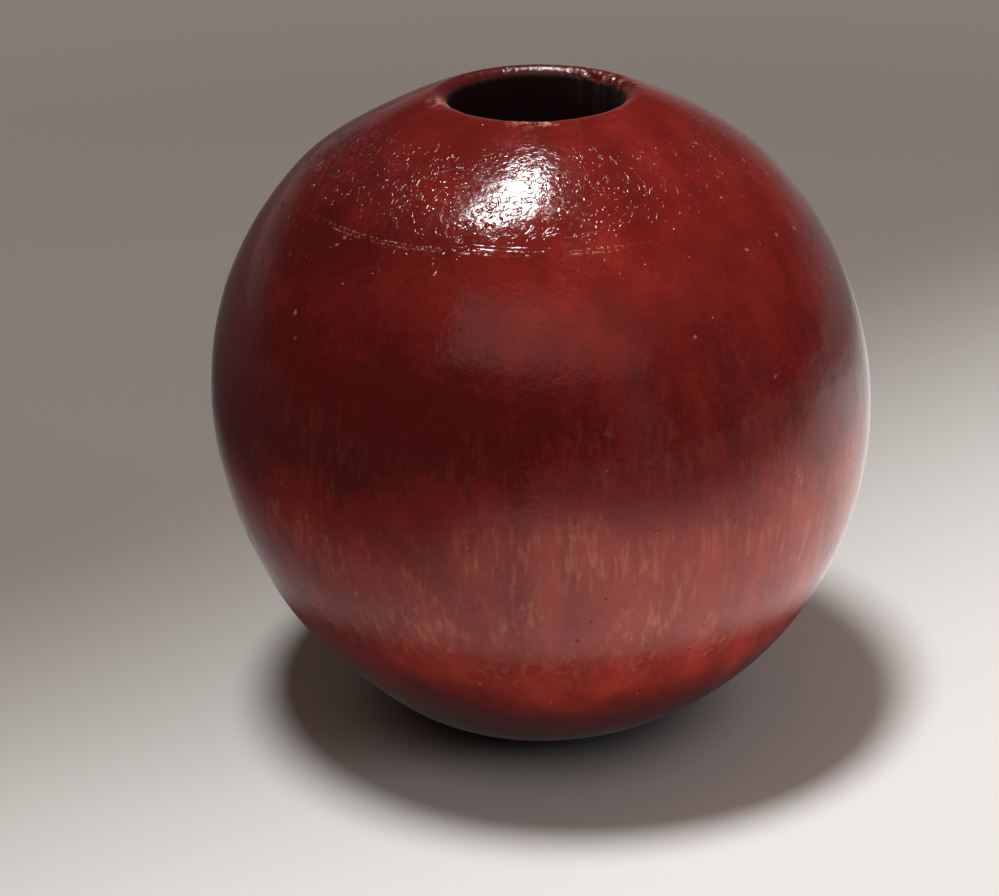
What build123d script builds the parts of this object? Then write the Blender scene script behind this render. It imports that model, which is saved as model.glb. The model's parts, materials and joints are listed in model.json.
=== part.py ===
from build123d import *
import os

# A turned wooden bead: one solid ball with a straight hole drilled through it from end to end.
# The ball is a little longer than it is wide, because wood that dries shrinks across the grain, and
# the grain runs along the hole.
# Millimetres. +Z runs along the hole, and the origin is the middle of the ball on the hole's axis,
# which is also the middle of the cord that the bead is strung on. Both ends are alike.

# Driving dimensions
bead_diameter = 30.0  # across the belly, where the ball is widest
ball_length = 31.0    # along the grain, from pole to pole of the ball before the hole takes its ends
bore_diameter = 7.8   # the hole: an 8 mm drill, less the colour and varnish that line it
lip_radius = 0.5      # how far the edge between the ball and the hole is rounded over

# What follows from them
bead_radius = bead_diameter / 2
bore_radius = bore_diameter / 2


def half_section():
    """One side of the bead, cut along the hole: x is the distance from the axis, y runs along it."""
    beside_the_bore = Pos(bore_radius, 0) * Rectangle(
        bead_radius, ball_length, align=(Align.MIN, Align.CENTER)
    )
    return Ellipse(bead_radius, ball_length / 2) & beside_the_bore


def rounded_lips(section):
    """The section with both mouths of the hole sanded to a rounded edge."""
    mouths = section.vertices().group_by(Axis.X)[0]
    return fillet(mouths, lip_radius)


def make_bead():
    """The finished bead: its section turned once round the hole's axis."""
    section = rounded_lips(half_section())
    bead = revolve(Plane.XZ * section, Axis.Z)
    bead.label = "bead"
    return bead


nodes = {"bead": make_bead()}

os.makedirs("parts", exist_ok=True)
for name, solid in nodes.items():
    export_step(solid, os.path.join("parts", name + ".step"))
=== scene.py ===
import json
import math

import bmesh
import bpy
from bpy.props import FloatProperty, FloatVectorProperty, IntProperty, PointerProperty
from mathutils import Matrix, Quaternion, Vector


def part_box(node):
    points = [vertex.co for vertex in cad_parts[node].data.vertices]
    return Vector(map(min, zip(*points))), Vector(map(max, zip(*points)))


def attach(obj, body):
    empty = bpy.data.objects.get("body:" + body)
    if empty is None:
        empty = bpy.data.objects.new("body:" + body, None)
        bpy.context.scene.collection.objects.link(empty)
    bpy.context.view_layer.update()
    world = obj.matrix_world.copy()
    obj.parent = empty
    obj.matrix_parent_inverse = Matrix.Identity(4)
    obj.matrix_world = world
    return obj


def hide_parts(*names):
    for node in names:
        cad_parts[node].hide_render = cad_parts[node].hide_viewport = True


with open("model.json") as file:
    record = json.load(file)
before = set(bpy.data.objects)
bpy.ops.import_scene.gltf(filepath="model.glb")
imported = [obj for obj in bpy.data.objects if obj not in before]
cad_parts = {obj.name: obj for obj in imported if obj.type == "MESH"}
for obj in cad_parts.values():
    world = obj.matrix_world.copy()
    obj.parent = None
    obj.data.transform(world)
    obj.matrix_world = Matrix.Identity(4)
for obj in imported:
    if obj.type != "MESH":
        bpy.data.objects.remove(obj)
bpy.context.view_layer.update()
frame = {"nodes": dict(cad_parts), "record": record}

bl_info = {
    "name": "Turned Wooden Bead",
    "version": (1, 0, 0),
    "blender": (4, 5, 0),
    "location": "3D View > Sidebar > Wooden Bead",
    "description": "A red-stained, varnished wooden bead with a drilled bore, and a pale studio for it",
    "category": "Object",
}

MM = 0.001
PANEL_TAB = "Wooden Bead"

# The floor and the camera's range in metres, and its sensor in millimetres
FLOOR_RADIUS = 1.6
FLOOR_SIDES = 96
SENSOR_WIDTH = 36.0
NEAREST_SEEN = 0.01
FARTHEST_SEEN = 10.0

# Lamps: where each is seen from the bead, and its width and height in metres
OVERHEAD_DIRECTION, OVERHEAD_SIZE = (-0.118, -0.09, 0.987), (0.113, 0.070)
MIRRORED_DIRECTION, MIRRORED_SIZE = (-0.080, 0.085, 0.99), (0.152, 0.094)
MIRRORED_SHARE = 1.08  # of the overhead lamp's strength
FILL_DIRECTION, FILL_SIZE, FILL_DISTANCE = (0.95, -0.28, 0.15), (0.20, 0.16), 0.35
LAMP_SLANT = math.radians(58)
LAMP_WHITE = (1.0, 0.995, 0.98)
FILL_WHITE = (1.0, 1.0, 1.0)

# The marks of the drill and of wear round the mouths of the bore
DRILL_PITCH = 0.9 * MM
TORN_MIDDLE, TORN_WIDTH = math.radians(48), math.radians(22)
FRONT_MIDDLE, FRONT_WIDTH = math.radians(-92), math.radians(14)


# The bead's sizes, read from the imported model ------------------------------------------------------

def bore_mount():
    """The record's entry for the hole, which holds its radius and the length of its straight wall."""
    return next(m for m in frame["record"]["mounts"] if m["name"] == "bore")


def ball_half_length(radius):
    """Half the length of the undrilled ball: every point of its skin lies on one ellipse."""
    ratios = []
    for vertex in frame["nodes"]["bead"].data.vertices:
        across = math.hypot(vertex.co.x, vertex.co.y) / radius
        if 0.5 < across < 0.9:
            ratios.append(abs(vertex.co.z) / math.sqrt(1 - across ** 2))
    return sorted(ratios)[len(ratios) // 2]


CAD_LOW, CAD_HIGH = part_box("bead")
BEAD_RADIUS = (CAD_HIGH.x - CAD_LOW.x) / 2
BEAD_TOP = CAD_HIGH.z
FLOOR_HEIGHT = CAD_LOW.z
BALL_HALF_LENGTH = ball_half_length(BEAD_RADIUS)
BORE_RADIUS = bore_mount()["dims"]["r_mm"] * MM
BORE_HALF_WALL = bore_mount()["dims"]["length_mm"] * MM / 2
LIP_RADIUS = BEAD_TOP - BORE_HALF_WALL


def shoulder_angle(radius, half_length, bore_radius, lip_radius, half_wall):
    """The angle on the ball's ellipse where the skin meets the lip: its point nearest the lip's centre."""
    across = bore_radius + lip_radius
    low = 0.0
    high = math.pi / 2
    for _ in range(60):
        angle = (low + high) / 2
        out = Vector((across - radius * math.cos(angle), half_wall - half_length * math.sin(angle)))
        along = Vector((-radius * math.sin(angle), half_length * math.cos(angle)))
        if out.dot(along) > 0:
            low = angle
        else:
            high = angle
    return (low + high) / 2


# Settings a user can change ------------------------------------------------------------------------

class BEAD_PG_shape(bpy.types.PropertyGroup):
    """Sizes of the relief that the lathe, the drill and use have left on the bead."""

    sides: IntProperty(
        name="Sides", description="Faces around the bead", default=480, min=32, max=600)
    belly_rows: IntProperty(
        name="Belly Rows", description="Rows of faces from the lower lip up to the turned line",
        default=100, min=8, max=200)
    crown_rows: IntProperty(
        name="Crown Rows", description="Rows of faces from the turned line up to the upper lip",
        default=22, min=4, max=80)
    line_rows: IntProperty(
        name="Line Rows", description="Rows of faces across the turned line", default=36, min=4, max=60)
    lip_rows: IntProperty(
        name="Lip Rows", description="Rows of faces round each rounded lip", default=9, min=3, max=20)
    bore_rows: IntProperty(
        name="Bore Rows", description="Rows of faces down the bore", default=16, min=4, max=60)
    line_height: FloatProperty(
        name="Line Height", description="Height of the turned line above the bead's middle",
        default=11.12 * MM, unit="LENGTH", subtype="DISTANCE")
    line_width: FloatProperty(
        name="Line Width", description="Distance between the two ridges of the turned line",
        default=0.12 * MM, unit="LENGTH", subtype="DISTANCE")
    line_depth: FloatProperty(
        name="Line Depth", description="Height of the varnish ridges beside the turned line",
        default=0.014 * MM, unit="LENGTH", subtype="DISTANCE")
    oval: FloatProperty(
        name="Oval", description="How far the ball is out of round", default=0.34 * MM,
        unit="LENGTH", subtype="DISTANCE")
    waviness: FloatProperty(
        name="Waviness", description="Height of the soft facets that hand sanding left",
        default=0.016 * MM, unit="LENGTH", subtype="DISTANCE")
    chip_depth: FloatProperty(
        name="Chip Depth", description="Depth of the chips along the lips of the bore",
        default=0.11 * MM, unit="LENGTH", subtype="DISTANCE")
    bore_roughness: FloatProperty(
        name="Bore Roughness", description="Height of the torn grain on the drilled wall",
        default=0.02 * MM, unit="LENGTH", subtype="DISTANCE")


class BEAD_PG_finish(bpy.types.PropertyGroup):
    """Colours of the stained, varnished wood."""

    # The stain mask also blends these reds as painted shade round the middle and at the bottom, and as
    # painted light low down.
    deep_stain: FloatVectorProperty(
        name="Deep Stain", description="Red where the stain has soaked in deeply",
        default=(0.070, 0.0058, 0.0056), size=3, subtype="COLOR", min=0, max=1)
    full_stain: FloatVectorProperty(
        name="Full Stain", description="Red where the stain covers the wood evenly",
        default=(0.200, 0.0150, 0.0110), size=3, subtype="COLOR", min=0, max=1)
    faded_stain: FloatVectorProperty(
        name="Faded Stain", description="Red where the stain has faded and the wood shines through",
        default=(0.400, 0.0420, 0.0260), size=3, subtype="COLOR", min=0, max=1)
    open_grain: FloatVectorProperty(
        name="Open Grain", description="Brown-orange of the open pores that took little stain",
        default=(0.46, 0.130, 0.060), size=3, subtype="COLOR", min=0, max=1)
    bare_wood: FloatVectorProperty(
        name="Bare Wood", description="Pale wood where the colour has rubbed or chipped away",
        default=(0.62, 0.27, 0.20), size=3, subtype="COLOR", min=0, max=1)
    # The nearly black bore colour is partly stain, partly painted shade inside the hole.
    bore_stain_and_shade: FloatVectorProperty(
        name="Bore Stain", description="Nearly black stained wood inside the bore",
        default=(0.012, 0.0014, 0.0014), size=3, subtype="COLOR", min=0, max=1)
    gloss: FloatProperty(
        name="Varnish Roughness", description="Roughness of the smooth varnish",
        default=0.09, min=0.02, max=1)
    crinkle: FloatProperty(
        name="Crinkle Height", description="Height of the fine crinkles in the varnish",
        default=0.013 * MM, unit="LENGTH", subtype="DISTANCE")
    nibs: FloatProperty(
        name="Nib Height", description="Height of the dust nibs caught in the varnish",
        default=0.045 * MM, unit="LENGTH", subtype="DISTANCE")


class BEAD_PG_studio(bpy.types.PropertyGroup):
    """The camera, the pale floor and the soft lights."""

    camera_distance: FloatProperty(
        name="Camera Distance", description="From the camera to the bead's middle",
        default=127.5 * MM, unit="LENGTH", subtype="DISTANCE")
    camera_elevation: FloatProperty(
        name="Camera Elevation", description="How far the camera looks down",
        default=math.radians(22.8), subtype="ANGLE")
    camera_roll: FloatProperty(
        name="Camera Roll", description="How far the camera is turned about its own view",
        default=math.radians(-1.2), subtype="ANGLE")
    lens: FloatProperty(
        name="Lens", description="Focal length in millimetres on a 36 mm wide sensor", default=100.1)
    framing: FloatVectorProperty(
        name="Framing", description="Aim point right of and above the bead's middle, in the view plane",
        default=(-1.92 * MM, -1.99 * MM), size=2, unit="LENGTH")
    floor_colour: FloatVectorProperty(
        name="Floor", description="Colour of the pale floor",
        default=(0.80, 0.825, 0.81), size=3, subtype="COLOR", min=0, max=1)
    # The near floor is also painted towards this colour behind and on the left, as painted shade.
    backdrop_colour: FloatVectorProperty(
        name="Backdrop", description="Colour that the floor fades to behind the bead",
        default=(0.235, 0.213, 0.188), size=3, subtype="COLOR", min=0, max=1)
    ambient_colour: FloatVectorProperty(
        name="Room Light", description="Dim warm light that comes from all round the room",
        default=(0.155, 0.104, 0.086), size=3, subtype="COLOR", min=0, max=1)
    lamp_distance: FloatProperty(
        name="Lamp Distance", description="From the bead to the overhead lamp",
        default=0.40, unit="LENGTH", subtype="DISTANCE")
    lamp_strength: FloatProperty(
        name="Lamp Strength", description="Watts of the overhead lamp", default=1.42, min=0)
    fill_strength: FloatProperty(
        name="Fill Strength", description="Watts of the soft fill on the right", default=0.56, min=0)


# Node trees ----------------------------------------------------------------------------------------

class Wiring:
    """Adds nodes to a tree and joins them up. A value is a number, a colour or another node's output."""

    def __init__(self, tree):
        self.tree = tree

    def add(self, kind, inputs=None, **settings):
        node = self.tree.nodes.new(kind)
        for name, value in settings.items():
            setattr(node, name, value)
        for key, value in (inputs or {}).items():
            self.feed(node.inputs[key], value)
        return node

    def feed(self, socket, value):
        if isinstance(value, bpy.types.NodeSocket):
            self.tree.links.new(value, socket)
        elif value is not None:
            socket.default_value = value

    def math(self, operation, first, second=None, third=None):
        node = self.add("ShaderNodeMath", operation=operation)
        for socket, value in zip(node.inputs, (first, second, third)):
            self.feed(socket, value)
        return node.outputs[0]

    def vector(self, operation, first, second=None):
        node = self.add("ShaderNodeVectorMath", operation=operation)
        self.feed(node.inputs[0], first)
        key = "Scale" if operation == "SCALE" else 1
        self.feed(node.inputs[key], second)
        return node.outputs["Value"] if operation in {"DOT_PRODUCT", "LENGTH"} else node.outputs["Vector"]

    def swing(self, value, height):
        """A value from 0 to 1 made to swing by half of height on either side of zero."""
        return self.math("MULTIPLY", self.math("SUBTRACT", value, 0.5), height)

    def combine(self, x=0.0, y=0.0, z=0.0):
        return self.add("ShaderNodeCombineXYZ", {"X": x, "Y": y, "Z": z}).outputs["Vector"]

    def split(self, vector):
        node = self.add("ShaderNodeSeparateXYZ", {"Vector": vector})
        return node.outputs["X"], node.outputs["Y"], node.outputs["Z"]

    def ramp(self, value, start, stop, low=0.0, high=1.0):
        """low where value is under start, high where it is over stop, and a smooth step between."""
        node = self.add("ShaderNodeMapRange", interpolation_type="SMOOTHSTEP")
        for key, number in (("Value", value), ("From Min", start), ("From Max", stop),
                            ("To Min", low), ("To Max", high)):
            self.feed(node.inputs[key], number)
        return node.outputs["Result"]

    def bell(self, value, middle, width):
        """1 where value is at middle, falling away smoothly over width on both sides."""
        offset = self.math("DIVIDE", self.math("SUBTRACT", value, middle), width)
        return self.math("EXPONENT", self.math("MULTIPLY", self.math("POWER", offset, 2.0), -1.0))

    def noise(self, vector, scale, detail=2.0, roughness=0.5, distortion=0.0):
        node = self.add("ShaderNodeTexNoise", {
            "Vector": vector, "Scale": scale, "Detail": detail, "Roughness": roughness,
            "Distortion": distortion})
        return node.outputs[0]

    def blend(self, factor, first, second):
        """first where factor is 0 and second where it is 1, for two colours."""
        node = self.add("ShaderNodeMix", data_type="RGBA", clamp_factor=True)
        self.feed(node.inputs[0], factor)
        self.feed(node.inputs[6], rgba(first))
        self.feed(node.inputs[7], rgba(second))
        return node.outputs[2]

    def total(self, *values):
        result = values[0]
        for value in values[1:]:
            result = self.math("ADD", result, value)
        return result

    def product(self, *values):
        result = values[0]
        for value in values[1:]:
            result = self.math("MULTIPLY", result, value)
        return result


def rgba(colour):
    """A colour with an alpha of 1; a node's output passes through unchanged."""
    if isinstance(colour, bpy.types.NodeSocket):
        return colour
    return (*tuple(colour)[:3], 1.0)


def new_group(name, kind, inputs, outputs):
    """A node group with named sockets: inputs are (name, type, default), and outputs (name, type)."""
    tree = bpy.data.node_groups.new(name, kind)
    for title, socket_type, default in inputs:
        socket = tree.interface.new_socket(name=title, in_out="INPUT", socket_type=socket_type)
        if default is not None:
            socket.default_value = default
    for title, socket_type in outputs:
        tree.interface.new_socket(name=title, in_out="OUTPUT", socket_type=socket_type)
    wiring = Wiring(tree)
    return tree, wiring, wiring.add("NodeGroupInput").outputs, wiring.add("NodeGroupOutput").inputs


FLOAT = "NodeSocketFloat"
WHOLE = "NodeSocketInt"
VECTOR = "NodeSocketVector"
COLOUR = "NodeSocketColor"


# The bead's shape, in Geometry Nodes ---------------------------------------------------------------

def section_curve(w, size):
    """The bead's half section as one closed curve: x is the distance from the axis, y runs along it."""
    stretch = w.math("DIVIDE", size["Ball Half Length"], size["Bead Radius"])
    line_angle = w.math("ARCSINE", w.math("DIVIDE", size["Line Height"], size["Ball Half Length"]))
    band = w.math("DIVIDE", w.math("MULTIPLY", size["Line Width"], 2.0), size["Bead Radius"])
    band_start = w.math("SUBTRACT", line_angle, band)
    band_stop = w.math("ADD", line_angle, band)
    shoulder = size["Shoulder Angle"]
    belly_start = w.math("MULTIPLY", shoulder, -1.0)
    parts = [
        skin_arc(w, size, stretch, belly_start, band_start, size["Belly Rows"]),
        skin_arc(w, size, stretch, band_start, band_stop, size["Line Rows"]),
        skin_arc(w, size, stretch, band_stop, shoulder, size["Crown Rows"]),
        lip_arc(w, size, stretch, upper=True),
        bore_line(w, size),
        lip_arc(w, size, stretch, upper=False),
    ]
    joined = w.add("GeometryNodeJoinGeometry")
    for part in parts:
        w.feed(joined.inputs[0], part)
    edges = w.add("GeometryNodeCurveToMesh", {"Curve": joined.outputs[0]}).outputs[0]
    merged = w.add("GeometryNodeMergeByDistance", {"Geometry": edges, "Distance": 0.01 * MM}).outputs[0]
    return w.add("GeometryNodeMeshToCurve", {"Mesh": merged}).outputs[0]


def skin_arc(w, size, stretch, start, stop, rows):
    """A stretch of the ball's skin between two angles on its ellipse."""
    arc = w.add("GeometryNodeCurveArc", {
        "Resolution": w.math("ADD", rows, 1.0), "Radius": size["Bead Radius"], "Start Angle": start,
        "Sweep Angle": w.math("SUBTRACT", stop, start)}, mode="RADIUS").outputs[0]
    return w.add("GeometryNodeTransform", {
        "Geometry": arc, "Scale": w.combine(1.0, stretch, 1.0)}).outputs[0]


def lip_arc(w, size, stretch, upper):
    """The rounded edge between the skin and the bore, at the upper or the lower mouth."""
    steepness = w.math("DIVIDE", w.math("TANGENT", size["Shoulder Angle"]), stretch)
    first = w.math("ARCTANGENT", steepness)
    sweep = w.math("SUBTRACT", math.pi, first)
    start = first if upper else math.pi
    across = w.math("ADD", size["Bore Radius"], size["Lip Radius"])
    height = w.math("MULTIPLY", size["Bore Half Wall"], 1.0 if upper else -1.0)
    arc = w.add("GeometryNodeCurveArc", {
        "Resolution": w.math("ADD", size["Lip Rows"], 1.0), "Radius": size["Lip Radius"],
        "Start Angle": start, "Sweep Angle": sweep}, mode="RADIUS").outputs[0]
    return w.add("GeometryNodeTransform", {
        "Geometry": arc, "Translation": w.combine(across, height, 0.0)}).outputs[0]


def bore_line(w, size):
    """The straight wall of the drilled hole."""
    top = w.combine(size["Bore Radius"], size["Bore Half Wall"], 0.0)
    bottom = w.combine(size["Bore Radius"], w.math("MULTIPLY", size["Bore Half Wall"], -1.0), 0.0)
    line = w.add("GeometryNodeCurvePrimitiveLine", {"Start": top, "End": bottom}).outputs[0]
    return w.add("GeometryNodeResampleCurve", {
        "Curve": line, "Count": w.math("ADD", size["Bore Rows"], 1.0)}).outputs[0]


def turned_solid(w, size, section):
    """The section swept once round the axis: a closed ring of faces with no seam."""
    rail = w.add("GeometryNodeCurvePrimitiveCircle", {
        "Resolution": size["Sides"], "Radius": size["Bead Radius"]}).outputs[0]
    upright = w.add("GeometryNodeSetCurveNormal", {"Curve": rail}, mode="Z_UP").outputs[0]
    outward = w.math("MULTIPLY", size["Bead Radius"], -1.0)
    profile = w.add("GeometryNodeTransform", {
        "Geometry": section, "Translation": w.combine(outward, 0.0, 0.0),
        "Scale": (1.0, -1.0, 1.0)}).outputs[0]
    swept = w.add("GeometryNodeCurveToMesh", {
        "Curve": upright, "Profile Curve": profile, "Fill Caps": False}).outputs[0]
    return w.add("GeometryNodeFlipFaces", {"Mesh": swept}).outputs[0]


def relief(w, size):
    """How far each point stands out from the true turned shape, along its normal, in metres."""
    position = w.add("GeometryNodeInputPosition").outputs[0]
    x, y, z = w.split(position)
    in_mm = w.vector("SCALE", position, 1 / MM)
    across = w.math("SQRT", w.total(w.math("POWER", x, 2.0), w.math("POWER", y, 2.0)))
    height = w.math("ABSOLUTE", z)
    wall_edge = w.math("ADD", size["Bore Radius"], w.math("MULTIPLY", size["Lip Radius"], 0.6))
    skin_edge = w.math("ADD", size["Bore Radius"], w.math("MULTIPLY", size["Lip Radius"], 3.0))
    skin = w.ramp(across, wall_edge, skin_edge)
    away_from_ends = w.ramp(height, w.math("MULTIPLY", size["Bore Half Wall"], 0.78),
                            w.math("MULTIPLY", size["Bore Half Wall"], 0.985), 1.0, 0.0)

    direction = w.vector("NORMALIZE", position)
    bulge = oval_bulge(w, direction)
    out_of_round = w.product(size["Oval"], bulge, away_from_ends)

    soft = w.noise(in_mm, 0.22, 2.0, 0.5)
    facets = w.product(size["Waviness"], w.swing(soft, 4.0),
                       w.ramp(height, w.math("MULTIPLY", size["Bore Half Wall"], 0.9),
                              size["Bore Half Wall"], 1.0, 0.0), skin)

    line = turned_line(w, size, in_mm, x, y, z, skin)
    chips = lip_chips(w, size, in_mm, x, y, z, across)
    torn = w.product(size["Bore Roughness"], w.math("SUBTRACT", drill_marks(w, in_mm, x, y, z), 0.5),
                     w.math("SUBTRACT", 1.0, skin),
                     w.ramp(height, w.math("MULTIPLY", size["Bore Half Wall"], 0.90),
                            size["Bore Half Wall"], 1.0, 0.0))
    return w.total(out_of_round, facets, line, chips, torn)


def oval_bulge(w, direction):
    """The slow bulges of a hand-sanded ball: full shoulders, fullest at the left, and a shy lower left."""
    z = w.split(direction)[2]
    shoulders = w.math("MULTIPLY", w.bell(z, 0.72, 0.30), 0.33)
    upper_left = w.vector("DOT_PRODUCT", direction, Vector((-0.74, -0.20, 0.64)).normalized())
    lower_left = w.vector("DOT_PRODUCT", direction, Vector((-0.72, -0.10, -0.69)).normalized())
    full = w.math("ADD", shoulders, w.ramp(upper_left, 0.45, 1.0, 0.0, 0.85))
    return w.math("SUBTRACT", full, w.ramp(lower_left, 0.35, 1.0, 0.0, 1.15))


def turned_line(w, size, in_mm, x, y, z, skin):
    """Two low ridges of varnish beside the scored line, broken into beads."""
    beads = w.ramp(w.noise(in_mm, 3.0, 2.0, 0.6), 0.45, 0.62)
    wander = w.swing(w.noise(in_mm, 0.25, 1.0), 0.10 * MM)
    offset = w.math("ABSOLUTE", w.math("SUBTRACT", w.math("ADD", z, wander), size["Line Height"]))
    ridge = w.bell(offset, w.math("MULTIPLY", size["Line Width"], 0.5),
                   w.math("MULTIPLY", size["Line Width"], 0.27))
    groove = w.bell(offset, 0.0, w.math("MULTIPLY", size["Line Width"], 0.3))
    raised = w.math("SUBTRACT", w.math("MULTIPLY", ridge, beads), w.math("MULTIPLY", groove, 0.25))
    upper_half = w.ramp(z, 0.0, 0.1 * MM)
    pressed = w.math("MULTIPLY", w.ramp(y, -1.5 * MM, -6.5 * MM), w.ramp(x, 6.5 * MM, 3.0 * MM))
    strength = w.math("MULTIPLY_ADD", pressed, 0.88, 0.12)
    return w.product(size["Line Depth"], raised, upper_half, skin, strength)


def lip_chips(w, size, in_mm, x, y, z, across):
    """Small bites along both lips, with a torn stretch at the back right of the upper one."""
    middle = w.math("ADD", size["Bore Radius"], w.math("MULTIPLY", size["Lip Radius"], 0.55))
    on_lip = w.bell(across, middle, size["Lip Radius"])
    near_end = w.ramp(w.math("ABSOLUTE", z), size["Bore Half Wall"],
                      w.math("MULTIPLY_ADD", size["Lip Radius"], 0.4, size["Bore Half Wall"]))
    bites = w.ramp(w.noise(in_mm, 1.9, 3.0, 0.6), 0.56, 0.74)
    angle = w.math("ARCTAN2", y, x)
    torn = w.product(w.bell(angle, TORN_MIDDLE, TORN_WIDTH),
                     w.ramp(w.noise(in_mm, 2.6, 3.0, 0.65), 0.40, 0.62), w.ramp(z, 0.0, 1 * MM))
    front = w.product(w.bell(angle, FRONT_MIDDLE, FRONT_WIDTH),
                      w.ramp(w.noise(in_mm, 3.0, 2.0, 0.6), 0.44, 0.6), w.ramp(z, 0.0, 1 * MM))
    depth = w.total(w.math("MULTIPLY", bites, 0.7), torn, w.math("MULTIPLY", front, 0.45))
    return w.product(size["Chip Depth"], depth, on_lip, near_end, -1.0)


def drill_marks(w, in_mm, x, y, z):
    """The spiral that the drill cut, roughened by torn grain."""
    turn = w.math("ARCTAN2", y, x)
    spiral = w.math("SINE", w.math("ADD", turn, w.math("MULTIPLY", z, 2 * math.pi / DRILL_PITCH)))
    grain = w.noise(w.vector("MULTIPLY", in_mm, (1.0, 1.0, 0.15)), 2.2, 3.0, 0.6)
    return w.total(w.math("MULTIPLY", spiral, 0.08), grain)


SHAPE_INPUTS = (
    ("Bead Radius", FLOAT), ("Ball Half Length", FLOAT), ("Bore Radius", FLOAT), ("Lip Radius", FLOAT),
    ("Bore Half Wall", FLOAT), ("Shoulder Angle", FLOAT), ("Sides", WHOLE),
    ("Belly Rows", WHOLE), ("Crown Rows", WHOLE), ("Line Rows", WHOLE),
    ("Lip Rows", WHOLE), ("Bore Rows", WHOLE), ("Line Height", FLOAT),
    ("Line Width", FLOAT), ("Line Depth", FLOAT), ("Oval", FLOAT), ("Waviness", FLOAT),
    ("Chip Depth", FLOAT), ("Bore Roughness", FLOAT), ("Finish", "NodeSocketMaterial"),
)


def bead_tree():
    """The Geometry Nodes tree that turns, drills and wears the bead."""
    inputs = [(name, kind, None) for name, kind in SHAPE_INPUTS]
    outputs = [("Bead", "NodeSocketGeometry")]
    tree, w, size, result = new_group("Turned Bead", "GeometryNodeTree", inputs, outputs)
    solid = turned_solid(w, size, section_curve(w, size))
    normal = w.add("GeometryNodeInputNormal").outputs[0]
    worn = w.add("GeometryNodeSetPosition", {
        "Geometry": solid, "Offset": w.vector("SCALE", normal, relief(w, size))}).outputs[0]
    smooth = w.add("GeometryNodeSetShadeSmooth", {"Geometry": worn, "Shade Smooth": True}).outputs[0]
    real = w.add("GeometryNodeRealizeInstances", {"Geometry": smooth}).outputs[0]
    finished = w.add("GeometryNodeSetMaterial", {"Geometry": real, "Material": size["Finish"]}).outputs[0]
    w.feed(result["Bead"], finished)
    return tree


# The finish, in shader nodes -----------------------------------------------------------------------

def grain_group():
    """Wood grain along Z: pores as short upright dashes that come in patches, and slow growth rings."""
    tree, w, given, result = new_group("Wood Grain", "ShaderNodeTree", [
        ("Position", VECTOR, None), ("Pore Width", FLOAT, 0.2), ("Pore Length", FLOAT, 0.8),
        ("Ring Spacing", FLOAT, 2.4)], [("Pores", FLOAT), ("Rings", FLOAT), ("Height", FLOAT)])
    squeeze = w.math("DIVIDE", given["Pore Width"], given["Pore Length"])
    stretched = w.vector("MULTIPLY", given["Position"], w.combine(1.0, 1.0, squeeze))
    fine = w.noise(stretched, w.math("DIVIDE", 0.5, given["Pore Width"]), 3.0, 0.6, 0.2)
    patches = w.ramp(w.noise(given["Position"], 0.28, 2.0, 0.6), 0.38, 0.62)
    pores = w.math("MULTIPLY", w.ramp(fine, 0.46, 0.70), w.math("MULTIPLY_ADD", patches, 0.8, 0.2))
    x, y, _ = w.split(given["Position"])
    slow = w.vector("MULTIPLY", given["Position"], (1.0, 1.0, 0.3))
    drift = w.math("MULTIPLY", w.noise(slow, 0.13, 2.0), 7.0)
    across = w.total(w.math("MULTIPLY", x, 0.86), w.math("MULTIPLY", y, 0.5), drift)
    turns = w.math("MULTIPLY", w.math("DIVIDE", across, given["Ring Spacing"]), 2 * math.pi)
    w.feed(result["Pores"], pores)
    w.feed(result["Rings"], w.math("MULTIPLY_ADD", w.math("SINE", turns), 0.5, 0.5))
    w.feed(result["Height"], w.math("SUBTRACT", fine, 0.5))
    return tree


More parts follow.
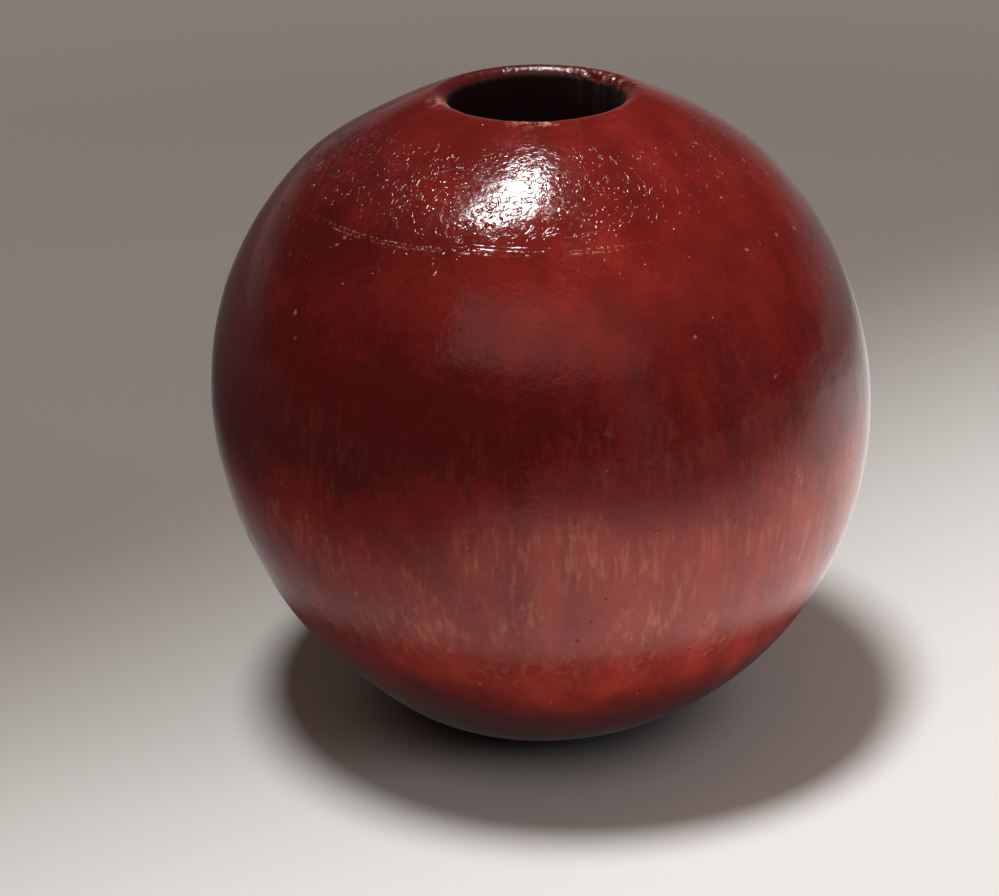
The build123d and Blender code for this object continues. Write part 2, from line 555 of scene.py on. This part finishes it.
def stain_group():
    """How much red the wood shows, with painted light and shade in it: full at the top, dark round the
    middle as painted shade, faded below, partly as painted light, darker at the bottom as painted shade,
    cloudy all over.
    """
    tree, w, given, result = new_group("Red Stain With Painted Light", "ShaderNodeTree", [
        ("Position", VECTOR, None), ("Deep", COLOUR, None), ("Full", COLOUR, None),
        ("Faded", COLOUR, None)],
        [("Color", COLOUR), ("Fading With Painted Light", FLOAT)])
    position = given["Position"]
    x, y, z = w.split(position)
    wander = w.swing(w.noise(position, 0.16, 3.0, 0.55), 5.0)
    level = w.math("ADD", z, wander)
    # Painted shade: a darker band round the middle.
    painted_shade_belt = w.math("MULTIPLY", w.bell(level, 5.0, 3.6), -0.25)
    # Faded below: partly thin stain, partly painted light from the pale floor.
    faded_and_lit_below = w.ramp(level, 3.2, -1.4, 0.0, 0.46)
    # Painted shade: darker at the bottom, near the floor.
    painted_shade_bottom = w.ramp(level, -7.2, -11.0, 0.0, -0.78)
    # Darker on the left: partly stain, partly painted shade.
    darker_left_stain_and_shade = w.ramp(x, 1.5, -12.0, 0.0, -0.31)
    # Brighter at the right of the crown: partly stain, partly painted light.
    bright_crown_stain_and_light = w.product(w.ramp(x, -1.0, 4.0, 0.0, 0.09), w.ramp(z, 8.5, 11.5))
    red_front = w.product(w.bell(x, -1.4, 5.0), w.bell(z, 8.2, 2.4), w.ramp(y, 0.0, -4.0), 0.13)
    # Painted shade: darker round the middle at the front.
    painted_shade_front = w.product(w.bell(x, 1.0, 5.5), w.bell(z, 4.3, 2.8), w.ramp(y, 0.0, -4.0), -0.08)
    dark_right = w.product(w.ramp(x, 8.5, 12.0), w.bell(z, 7.0, 3.5), -0.05)
    clouds = w.swing(w.noise(position, 0.14, 3.0, 0.6, 0.5), 0.65)
    upright = w.vector("MULTIPLY", position, (1.0, 1.0, 0.55))
    mottles = w.swing(w.noise(upright, 0.62, 4.0, 0.62), 0.60)
    specks = w.swing(w.noise(position, 4.2, 2.0, 0.6), 0.34)
    fading_with_painted_light = w.total(0.37, painted_shade_belt, faded_and_lit_below, painted_shade_bottom, darker_left_stain_and_shade, bright_crown_stain_and_light,
                     red_front, painted_shade_front, dark_right, clouds, mottles, specks)
    filled = w.blend(w.math("MULTIPLY", fading_with_painted_light, 2.0), given["Deep"], given["Full"])
    w.feed(result["Color"], w.blend(w.math("MULTIPLY_ADD", fading_with_painted_light, 2.0, -1.0), filled, given["Faded"]))
    w.feed(result["Fading With Painted Light"], w.math("MINIMUM", w.math("MAXIMUM", fading_with_painted_light, 0.0), 1.0))
    return tree


def crinkle_group():
    """The varnish's own surface: fine creased crinkles over a soft brushed unevenness, as a height."""
    tree, w, given, result = new_group("Varnish Crinkle", "ShaderNodeTree", [
        ("Position", VECTOR, None), ("Crinkle Height", FLOAT, 0.006), ("Soft Height", FLOAT, 0.02)],
        [("Height", FLOAT)])
    x, _, z = w.split(given["Position"])
    fine = w.noise(given["Position"], 3.0, 2.0, 0.5, 0.7)
    lines = w.math("ABSOLUTE", w.math("SUBTRACT", w.noise(given["Position"], 1.9, 1.0, 0.55, 0.9), 0.5))
    thick = w.math("MULTIPLY", w.ramp(z, 11.3, 12.4), w.ramp(z, 14.2, 13.4))
    cracks = w.math("MULTIPLY", w.ramp(lines, 0.040, 0.0, 0.0, -1.15),
                    w.math("MULTIPLY_ADD", thick, 0.92, 0.08))
    soft = w.noise(given["Position"], 0.8, 1.0, 0.5, 0.3)
    calmer = w.ramp(x, 2.5, 6.0, 1.0, 0.6)
    crinkles = w.math("MULTIPLY", w.math("ADD", w.math("SUBTRACT", fine, 0.5), cracks), calmer)
    w.feed(result["Height"], w.total(
        w.math("MULTIPLY", crinkles, given["Crinkle Height"]),
        w.swing(soft, given["Soft Height"])))
    return tree


def nib_group():
    """Dust caught in the wet varnish: one uneven nib to a cell, in the given share of the cells."""
    tree, w, given, result = new_group("Dust Nibs", "ShaderNodeTree", [
        ("Position", VECTOR, None), ("Cell Size", FLOAT, 0.6), ("Nib Radius", FLOAT, 0.09),
        ("Share", FLOAT, 0.3)], [("Nibs", FLOAT), ("Pale", FLOAT)])
    cell = w.add("ShaderNodeTexVoronoi", {
        "Vector": given["Position"], "Scale": w.math("DIVIDE", 1.0, given["Cell Size"])}, feature="F1")
    uneven = w.math("MULTIPLY_ADD", w.noise(given["Position"], 6.0, 0.0), 1.6, 0.2)
    distance = w.product(cell.outputs["Distance"], given["Cell Size"], uneven)
    dice = w.add("ShaderNodeSeparateColor", {"Color": cell.outputs["Color"]})
    present = w.math("LESS_THAN", dice.outputs[0], given["Share"])
    radius = w.math("MULTIPLY", given["Nib Radius"], w.math("MULTIPLY_ADD", dice.outputs[1], 0.9, 0.55))
    w.feed(result["Nibs"], w.math("MULTIPLY", w.ramp(distance, 0.0, radius, 1.0, 0.0), present))
    # A pale nib is partly pale dust, partly a painted glint.
    pale = w.math("LESS_THAN", dice.outputs[2], 0.30)
    core = w.ramp(distance, 0.0, w.math("MULTIPLY", radius, 0.8), 1.0, 0.0)
    w.feed(result["Pale"], w.product(core, present, pale))
    return tree


def fibre_group():
    """Short curled fibres stuck in the varnish: a piece of a ring in some of the cells."""
    tree, w, given, result = new_group("Dust Fibres", "ShaderNodeTree", [
        ("Position", VECTOR, None), ("Cell Size", FLOAT, 2.4), ("Curl Radius", FLOAT, 0.5),
        ("Thickness", FLOAT, 0.035), ("Share", FLOAT, 0.2)], [("Fibres", FLOAT)])
    cell = w.add("ShaderNodeTexVoronoi", {
        "Vector": given["Position"], "Scale": w.math("DIVIDE", 1.0, given["Cell Size"])}, feature="F1")
    offset = w.vector("SUBTRACT", given["Position"], cell.outputs["Position"])
    side = w.vector("NORMALIZE", w.vector("SUBTRACT", cell.outputs["Color"], (0.5, 0.5, 0.5)))
    dice = w.add("ShaderNodeSeparateColor", {"Color": cell.outputs["Color"]})
    curl = w.bell(w.vector("LENGTH", offset), given["Curl Radius"], given["Thickness"])
    half = w.ramp(w.vector("DOT_PRODUCT", offset, side), 0.10, 0.16)
    present = w.math("LESS_THAN", dice.outputs[1], given["Share"])
    w.feed(result["Fibres"], w.product(curl, half, present))
    return tree


def lip_group():
    """The mouth of the bore: masks of the drilled wall, of rubbed lips with painted light along the front,
    and of dull varnish.
    """
    tree, w, given, result = new_group("Bore Mouth", "ShaderNodeTree", [
        ("Position", VECTOR, None), ("Bore Radius", FLOAT, 3.9), ("Lip Radius", FLOAT, 0.5),
        ("Lip Height", FLOAT, 14.3)], [("Inside", FLOAT), ("Worn", FLOAT), ("Dull", FLOAT)])
    position = given["Position"]
    x, y, z = w.split(position)
    across = w.math("SQRT", w.total(w.math("POWER", x, 2.0), w.math("POWER", y, 2.0)))
    depth = w.math("DIVIDE", w.math("SUBTRACT", across, given["Bore Radius"]), given["Lip Radius"])
    height = w.math("ABSOLUTE", z)
    at_end = w.ramp(height, w.math("SUBTRACT", given["Lip Height"], 1.0), given["Lip Height"])
    # Paler towards the front of each lip and faint at the back: the pale edge is partly rubbed wood, partly
    # painted light on the crest.
    front = w.ramp(y, -0.6, -2.6, 0.06, 1.0)
    rubbed = w.ramp(w.noise(position, 2.3, 4.0, 0.65), 0.36, 0.60)
    edge = w.product(w.bell(depth, 0.42, 0.20), rubbed, front)
    flakes = w.product(w.bell(depth, 1.15, 0.55),
                       w.ramp(w.noise(position, 2.0, 4.0, 0.7), 0.52, 0.58), front)
    near_front = w.bell(x, 0.2, 1.3)
    ragged = w.product(w.bell(depth, 0.5, 0.8), w.ramp(w.noise(position, 2.9, 4.0, 0.7), 0.50, 0.60),
                       w.ramp(w.math("ADD", x, y), 4.2, 5.4), 0.6)
    chipped = w.product(w.bell(y, -1.1, 0.7), w.ramp(x, -3.4, -4.0), w.ramp(depth, 2.4, 1.0), rubbed)
    worn = w.total(edge, w.math("MULTIPLY", flakes, near_front), ragged, w.math("MULTIPLY", chipped, 0.6))
    w.feed(result["Worn"], w.math("MINIMUM", w.math("MULTIPLY", worn, at_end), 1.0))
    below = w.math("MULTIPLY", w.ramp(depth, 1.6, 1.2),
                   w.ramp(height, given["Lip Height"], w.math("SUBTRACT", given["Lip Height"], 0.15)))
    w.feed(result["Inside"], w.math("MAXIMUM", w.ramp(depth, 0.16, 0.03), below))
    w.feed(result["Dull"], w.math("MULTIPLY", w.ramp(depth, 1.5, 0.7), at_end))
    return tree


def line_group():
    """Varnish piled up in small beads along both edges of the turned line."""
    tree, w, given, result = new_group("Turned Line", "ShaderNodeTree", [
        ("Position", VECTOR, None), ("Line Height", FLOAT, 11.1), ("Line Width", FLOAT, 0.12)],
        [("Ridge", FLOAT)])
    x, y, z = w.split(given["Position"])
    wander = w.swing(w.noise(given["Position"], 0.25, 1.0), 0.10)
    offset = w.math("ABSOLUTE", w.math("SUBTRACT", w.math("ADD", z, wander), given["Line Height"]))
    edge = w.math("MULTIPLY", given["Line Width"], 0.5)
    ridge = w.bell(offset, edge, w.math("MULTIPLY", given["Line Width"], 0.26))
    beads = w.ramp(w.noise(given["Position"], 6.0, 1.0, 0.5), 0.47, 0.58)
    gaps = w.ramp(w.noise(given["Position"], 0.7, 1.0, 0.6), 0.34, 0.48)
    pressed = w.math("MULTIPLY", w.ramp(y, -1.5, -6.5, 0.15, 1.0), w.ramp(x, 5.5, 2.0, 0.05, 1.0))
    w.feed(result["Ridge"], w.product(ridge, beads, gaps, pressed, w.ramp(x, -10.0, -7.5, 0.1, 1.0)))
    return tree


GROUP_BUILDERS = {
    "Wood Grain": grain_group,
    "Red Stain With Painted Light": stain_group,
    "Varnish Crinkle": crinkle_group,
    "Dust Nibs": nib_group,
    "Dust Fibres": fibre_group,
    "Bore Mouth": lip_group,
    "Turned Line": line_group,
}


def group_node(w, name, inputs):
    """An instance of a shared shader group, built the first time that it is asked for."""
    tree = bpy.data.node_groups.get(name) or GROUP_BUILDERS[name]()
    node = w.add("ShaderNodeGroup", node_tree=tree)
    for key, value in inputs.items():
        w.feed(node.inputs[key], value)
    return node.outputs


def new_material(name):
    """An empty node material, the wiring to fill it and the socket that its shader goes to."""
    material = bpy.data.materials.new(name)
    material.use_nodes = True
    material.node_tree.nodes.clear()
    w = Wiring(material.node_tree)
    return material, w, w.add("ShaderNodeOutputMaterial").inputs["Surface"]


def position_in_mm(w):
    """The point's place on the object, in millimetres."""
    coordinates = w.add("ShaderNodeTexCoord").outputs["Object"]
    return w.vector("SCALE", coordinates, 1 / MM)


def dust(w, position):
    """The nibs' relief, and the pale specks and fibres, partly dust and partly painted glints, gathered
    where the brush turned near the top.
    """
    z = w.split(position)[2]
    few = group_node(w, "Dust Nibs", {
        "Position": position, "Cell Size": 1.25, "Nib Radius": 0.10, "Share": 0.22})
    wisps = w.math("ABSOLUTE", w.math("SUBTRACT", w.noise(position, 0.34, 1.0, 0.5, 0.4), 0.5))
    turning = w.product(w.ramp(z, 9.0, 10.4), w.ramp(z, 14.0, 13.4), w.ramp(wisps, 0.07, 0.01))
    many = group_node(w, "Dust Nibs", {
        "Position": w.vector("ADD", position, (31.0, 17.0, 5.0)), "Cell Size": 0.30, "Nib Radius": 0.10,
        "Share": w.math("MULTIPLY_ADD", turning, 0.70, 0.008)})
    fibres = group_node(w, "Dust Fibres", {
        "Position": position, "Cell Size": 2.9, "Curl Radius": 0.26, "Thickness": 0.024,
        "Share": 0.13})["Fibres"]
    relief_mask = w.math("MAXIMUM", few["Nibs"], many["Nibs"])
    pale = w.math("MAXIMUM", w.math("MULTIPLY", few["Pale"], 0.8), w.math("MULTIPLY", many["Pale"], 0.6))
    return relief_mask, w.math("MAXIMUM", pale, w.math("MULTIPLY", fibres, 0.35)), fibres


def bead_material(finish, shape):
    """Red-stained wood under glossy varnish, with rubbed lips, dust in the varnish and a dark bore."""
    material, w, surface = new_material("Varnished Red Wood")
    position = position_in_mm(w)
    grain = group_node(w, "Wood Grain", {
        "Position": position, "Pore Width": 0.17, "Pore Length": 0.80, "Ring Spacing": 3.1})
    stain = group_node(w, "Red Stain With Painted Light", {
        "Position": position, "Deep": rgba(finish.deep_stain), "Full": rgba(finish.full_stain),
        "Faded": rgba(finish.faded_stain)})
    mouth = group_node(w, "Bore Mouth", {
        "Position": position, "Bore Radius": BORE_RADIUS / MM, "Lip Radius": LIP_RADIUS / MM,
        "Lip Height": BORE_HALF_WALL / MM})
    varnish = group_node(w, "Varnish Crinkle", {
        "Position": position, "Crinkle Height": finish.crinkle / MM, "Soft Height": 0.022})
    nibs, pale, fibres = dust(w, position)
    inside = mouth["Inside"]
    ridge = group_node(w, "Turned Line", {
        "Position": position, "Line Height": shape.line_height / MM,
        "Line Width": shape.line_width / MM})["Ridge"]

    ringed = w.blend(w.math("MULTIPLY", grain["Rings"], 0.22), stain["Color"], rgba(finish.deep_stain))
    _, y, z = w.split(position)
    bared = w.product(grain["Pores"], w.ramp(stain["Fading With Painted Light"], 0.40, 0.80, 0.06, 0.70),
                      w.ramp(z, -8.5, -5.0), w.ramp(z, 6.5, 3.5, 0.12, 1.0))
    pored = w.blend(bared, ringed, rgba(finish.open_grain))
    # Pale specks and fibres, partly dust and partly painted glints, and pale beads along the turned line as
    # painted glints.
    specks = w.math("MAXIMUM", pale, w.math("MULTIPLY", ridge, 0.30))
    dust_and_glints = w.blend(specks, pored, rgba(finish.bare_wood))
    rubbed = w.blend(w.math("MULTIPLY", mouth["Worn"], 0.85), dust_and_glints, rgba(finish.bare_wood))
    # Painted shade: the back half of each lip is darkened towards the deep red.
    soaked = w.product(mouth["Dull"], w.ramp(y, -2.0, 1.5), w.math("SUBTRACT", 1.0, mouth["Worn"]))
    rimmed_with_painted_shade = w.blend(w.math("MULTIPLY", soaked, 0.92), rubbed, rgba(finish.deep_stain))
    # Inside the bore: nearly black, partly stain and partly painted shade.
    colour = w.blend(inside, rimmed_with_painted_shade, rgba(finish.bore_stain_and_shade))

    patches = w.math("MULTIPLY", w.ramp(w.noise(position, 0.4, 4.0, 0.6), 0.35, 0.75), 0.06)
    varnished = w.total(finish.gloss, patches, w.math("MULTIPLY", grain["Pores"], 0.14),
                        w.math("MULTIPLY", mouth["Worn"], 0.15),
                        w.product(mouth["Dull"], w.ramp(y, -2.0, 1.5, 0.52, 0.20)))
    roughness = w.math("MINIMUM", w.math("ADD", varnished, w.math("MULTIPLY", inside, 0.5)), 0.9)

    skin_height = w.total(
        varnish["Height"], w.math("MULTIPLY", nibs, finish.nibs / MM), w.math("MULTIPLY", fibres, 0.015),
        w.math("MULTIPLY", grain["Height"], 0.005), w.math("MULTIPLY", ridge, 0.024))
    bore_height = w.math("MULTIPLY", grain["Height"], 0.02)
    outside = w.math("SUBTRACT", 1.0, inside)
    height = w.math("ADD", w.math("MULTIPLY", skin_height, outside),
                    w.math("MULTIPLY", bore_height, inside))
    bump = w.add("ShaderNodeBump", {"Strength": 1.0, "Distance": MM, "Height": height})
    shader = w.add("ShaderNodeBsdfPrincipled", {
        "Base Color": colour, "Roughness": roughness, "IOR": 1.5, "Normal": bump.outputs["Normal"]})
    w.feed(surface, shader.outputs["BSDF"])
    return material


# Operators -----------------------------------------------------------------------------------------

def shape_values(shape, finish):
    """The bead tree's inputs by name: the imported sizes, the settings of the same names, and the finish."""
    values = {
        "Bead Radius": BEAD_RADIUS,
        "Ball Half Length": BALL_HALF_LENGTH,
        "Bore Radius": BORE_RADIUS,
        "Lip Radius": LIP_RADIUS,
        "Bore Half Wall": BORE_HALF_WALL,
        "Shoulder Angle": shoulder_angle(
            BEAD_RADIUS, BALL_HALF_LENGTH, BORE_RADIUS, LIP_RADIUS, BORE_HALF_WALL),
        "Finish": finish,
    }
    for name, _ in SHAPE_INPUTS:
        if name not in values:
            values[name] = getattr(shape, name.lower().replace(" ", "_"))
    return values


def evaluated_piece(name, tree, values):
    """A plain mesh object made by running a Geometry Nodes tree once, with the given input values."""
    maker = bpy.data.objects.new(name + "_maker", bpy.data.meshes.new(name + "_maker"))
    bpy.context.scene.collection.objects.link(maker)
    modifier = maker.modifiers.new("Shape", "NODES")
    modifier.node_group = tree
    for item in tree.interface.items_tree:
        if item.item_type == "SOCKET" and item.in_out == "INPUT":
            modifier[item.identifier] = values[item.name]
    bpy.context.view_layer.update()
    evaluated = maker.evaluated_get(bpy.context.evaluated_depsgraph_get())
    mesh = bpy.data.meshes.new_from_object(evaluated)
    bpy.data.objects.remove(maker)
    if not mesh.polygons:
        raise RuntimeError("the tree for " + name + " made no faces")
    mesh.name = name
    piece = bpy.data.objects.new(name, mesh)
    bpy.context.scene.collection.objects.link(piece)
    return piece


class BEAD_OT_turn(bpy.types.Operator):
    """Turn, drill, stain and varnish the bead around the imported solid"""

    bl_idname = "bead.turn"
    bl_label = "Turn Bead"

    def execute(self, context):
        shape = context.scene.bead_shape
        finish = context.scene.bead_finish
        material = bead_material(finish, shape)
        piece = evaluated_piece("turned_bead", bead_tree(), shape_values(shape, material))
        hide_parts("bead")
        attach(piece, "root")
        return {"FINISHED"}


class BEAD_OT_studio(bpy.types.Operator):
    """Lay the pale floor, hang the lamps and set up the camera"""

    bl_idname = "bead.studio"
    bl_label = "Set Up Studio"

    def execute(self, context):
        studio = context.scene.bead_studio
        lay_floor(studio)
        hang_lamps(studio)
        light_room(context.scene, studio)
        place_camera(context.scene, studio)
        context.scene.view_settings.view_transform = "Standard"
        return {"FINISHED"}


def lay_floor(studio):
    """A wide round floor that the bead stands on."""
    mesh = bpy.data.meshes.new("studio_floor")
    shape = bmesh.new()
    bmesh.ops.create_circle(shape, cap_ends=True, segments=FLOOR_SIDES, radius=FLOOR_RADIUS)
    bmesh.ops.translate(shape, verts=shape.verts, vec=(0, 0, FLOOR_HEIGHT))
    shape.to_mesh(mesh)
    shape.free()
    mesh.materials.append(floor_material(studio))
    floor = bpy.data.objects.new("studio_floor", mesh)
    bpy.context.scene.collection.objects.link(floor)


def floor_material(studio):
    """Matte pale floor with painted shade, greyer behind and on the left and dark round the bead's foot,
    with a glow of its own for the varnish to mirror, which holds a painted shadow of the bead.
    """
    material, w, surface = new_material("Pale Floor With Painted Shade")
    position = position_in_mm(w)
    x, y, _ = w.split(position)
    away = w.math("SUBTRACT", w.math("MULTIPLY", y, 0.76), w.math("MULTIPLY", x, 0.65))
    radius = w.math("SQRT", w.total(w.math("POWER", x, 2.0), w.math("POWER", y, 2.0)))
    # Painted shade: the floor greys towards the backdrop colour behind and on the left.
    shaded_paper = w.blend(w.ramp(away, -18.0, 34.0), rgba(studio.floor_colour), rgba(studio.backdrop_colour))
    # Painted shadow: the floor darkens to black round the bead's foot.
    contact_shaded_paper = w.blend(w.ramp(radius, 4.5, 10.5, 0.92, 0.0), shaded_paper, (0.0, 0.0, 0.0))
    matte = w.add("ShaderNodeBsdfDiffuse", {"Color": contact_shaded_paper}).outputs[0]
    path = w.add("ShaderNodeLightPath").outputs
    far = w.math("MULTIPLY", w.ramp(radius, 70.0, 160.0), path["Is Camera Ray"])
    backdrop = w.add("ShaderNodeEmission", {"Color": rgba(studio.backdrop_colour)}).outputs[0]
    seen = w.add("ShaderNodeMixShader", {0: far, 1: matte, 2: backdrop}).outputs[0]
    # Painted reflection: for glossy rays the floor glows, dim within the bead's painted shadow and brightest
    # in a painted pool of light in front and on the right.
    strength = w.math("MULTIPLY_ADD", w.ramp(radius, 14.8, 19.5), mirror_glow(w, x, y), 0.045)
    glow = w.add("ShaderNodeEmission", {"Color": (1.0, 0.98, 0.95, 1.0), "Strength": strength}).outputs[0]
    w.feed(surface, w.add("ShaderNodeMixShader", {0: path["Is Glossy Ray"], 1: seen, 2: glow}).outputs[0])
    return material


def mirror_glow(w, x, y):
    """How bright the floor looks in the varnish, a painted reflection: a soft pool in front and on the
    right, dim elsewhere.
    """
    outward = w.math("SUBTRACT", w.math("MULTIPLY", x, 0.6), w.math("MULTIPLY", y, 0.8))
    pool = w.math("MULTIPLY", w.ramp(x, -38.0, 16.0), w.ramp(outward, 12.0, 100.0, 1.0, 0.12))
    behind = w.ramp(x, -50.0, 10.0, 0.03, 0.21)
    share = w.ramp(y, 25.0, 80.0)
    kept = w.math("MULTIPLY", pool, w.math("SUBTRACT", 1.0, share))
    return w.math("ADD", kept, w.math("MULTIPLY", behind, share))


def soft_lamp(name, direction, distance, size, power, colour, shows, turn=0.0):
    """An oval soft lamp that faces the bead, unseen by the camera; shows says which rays it reaches."""
    data = bpy.data.lights.new(name, "AREA")
    data.shape = "ELLIPSE"
    data.size, data.size_y = size
    data.energy = power
    data.color = colour
    lamp = bpy.data.objects.new(name, data)
    away = Vector(direction).normalized()
    lamp.location = away * distance
    lamp.rotation_mode = "QUATERNION"
    lamp.rotation_quaternion = Vector((0, 0, 1)).rotation_difference(away) @ Quaternion((0, 0, 1), turn)
    lamp.visible_camera = False
    lamp.visible_diffuse = shows == "diffuse"
    lamp.visible_glossy = shows == "glossy"
    bpy.context.scene.collection.objects.link(lamp)


def hang_lamps(studio):
    """The overhead lamp, the same lamp as the varnish mirrors it, and the soft fill on the right."""
    soft_lamp("overhead_lamp", OVERHEAD_DIRECTION, studio.lamp_distance, OVERHEAD_SIZE,
              studio.lamp_strength, LAMP_WHITE, "diffuse", LAMP_SLANT)
    soft_lamp("mirrored_lamp", MIRRORED_DIRECTION, studio.lamp_distance, MIRRORED_SIZE,
              MIRRORED_SHARE * studio.lamp_strength, LAMP_WHITE, "glossy", LAMP_SLANT)
    soft_lamp("right_fill", FILL_DIRECTION, FILL_DISTANCE, FILL_SIZE, studio.fill_strength,
              FILL_WHITE, "diffuse")


def light_room(scene, studio):
    """The room's dim light, with the backdrop for the camera and a soft window for the varnish."""
    world = bpy.data.worlds.new("Studio Room")
    world.use_nodes = True
    world.node_tree.nodes.clear()
    w = Wiring(world.node_tree)
    output = w.add("ShaderNodeOutputWorld").inputs["Surface"]
    direction = w.add("ShaderNodeTexCoord").outputs["Generated"]
    mirrored = w.add("ShaderNodeBackground", {
        "Color": (1.0, 0.95, 0.90, 1.0), "Strength": room_glow(w, direction)})
    ambient = w.add("ShaderNodeBackground", {"Color": rgba(studio.ambient_colour), "Strength": 1.0})
    backdrop = w.add("ShaderNodeBackground", {"Color": rgba(studio.backdrop_colour), "Strength": 1.0})
    path = w.add("ShaderNodeLightPath").outputs
    lit = w.add("ShaderNodeMixShader", {
        0: path["Is Glossy Ray"], 1: ambient.outputs[0], 2: mirrored.outputs[0]}).outputs[0]
    shown = w.add("ShaderNodeMixShader", {
        0: path["Is Camera Ray"], 1: lit, 2: backdrop.outputs[0]}).outputs[0]
    w.feed(output, shown)
    scene.world = world


def room_glow(w, direction):
    """How bright the room looks in the varnish: dark, but for a window in front and a low glow behind."""
    x, y, z = w.split(direction)
    forward = w.math("MAXIMUM", w.math("MULTIPLY", y, -1.0), 0.02)
    aside = w.math("DIVIDE", x, forward)
    in_front = w.ramp(y, -0.05, -0.20)
    pane = w.product(w.ramp(aside, -0.70, -0.60), w.ramp(aside, 1.5, -0.5, 0.10, 1.0),
                     w.ramp(z, 0.38, 0.52), w.ramp(z, 0.86, 0.70), in_front)
    strip = w.product(w.bell(aside, 0.74, 0.16), w.ramp(z, 0.60, 0.42), w.ramp(z, -0.05, 0.12), in_front)
    behind = w.product(w.ramp(z, 0.30, 0.0), w.ramp(y, 0.30, 0.75))
    return w.total(0.018, w.math("MULTIPLY", pane, 0.48), w.math("MULTIPLY", strip, 0.22),
                   w.math("MULTIPLY", behind, 0.18))


def place_camera(scene, studio):
    """The camera in front of the bead, looking down on it."""
    data = bpy.data.cameras.new("studio_camera")
    data.sensor_width = SENSOR_WIDTH
    data.lens = studio.lens
    data.clip_start = NEAREST_SEEN
    data.clip_end = FARTHEST_SEEN
    camera = bpy.data.objects.new("studio_camera", data)
    rise = studio.camera_elevation
    camera.location = Vector((0, -math.cos(rise), math.sin(rise))) * studio.camera_distance
    aside, above = studio.framing
    target = Vector((aside, above * math.sin(rise), above * math.cos(rise)))
    look = (target - camera.location).to_track_quat("-Z", "Y")
    camera.rotation_mode = "QUATERNION"
    camera.rotation_quaternion = look @ Quaternion((0, 0, 1), studio.camera_roll)
    scene.collection.objects.link(camera)
    scene.camera = camera


class BEAD_PT_panel(bpy.types.Panel):
    """Steps and settings for the bead and its studio"""

    bl_idname = "BEAD_PT_panel"
    bl_label = "Wooden Bead"
    bl_space_type = "VIEW_3D"
    bl_region_type = "UI"
    bl_category = PANEL_TAB

    def draw(self, context):
        for title, group, operator in (
                ("Shape", context.scene.bead_shape, None),
                ("Finish", context.scene.bead_finish, "bead.turn"),
                ("Studio", context.scene.bead_studio, "bead.studio")):
            box = self.layout.box()
            box.label(text=title)
            for name in group.bl_rna.properties.keys():
                if name not in {"rna_type", "name"}:
                    box.prop(group, name)
            if operator:
                box.operator(operator)


CLASSES = (
    BEAD_PG_shape,
    BEAD_PG_finish,
    BEAD_PG_studio,
    BEAD_OT_turn,
    BEAD_OT_studio,
    BEAD_PT_panel,
)


def register():
    for cls in CLASSES:
        bpy.utils.register_class(cls)
    bpy.types.Scene.bead_shape = PointerProperty(type=BEAD_PG_shape)
    bpy.types.Scene.bead_finish = PointerProperty(type=BEAD_PG_finish)
    bpy.types.Scene.bead_studio = PointerProperty(type=BEAD_PG_studio)


def unregister():
    del bpy.types.Scene.bead_studio
    del bpy.types.Scene.bead_finish
    del bpy.types.Scene.bead_shape
    for cls in reversed(CLASSES):
        bpy.utils.unregister_class(cls)


def main():
    register()
    bpy.ops.bead.turn()
    bpy.ops.bead.studio()


if __name__ == "__main__":
    main()
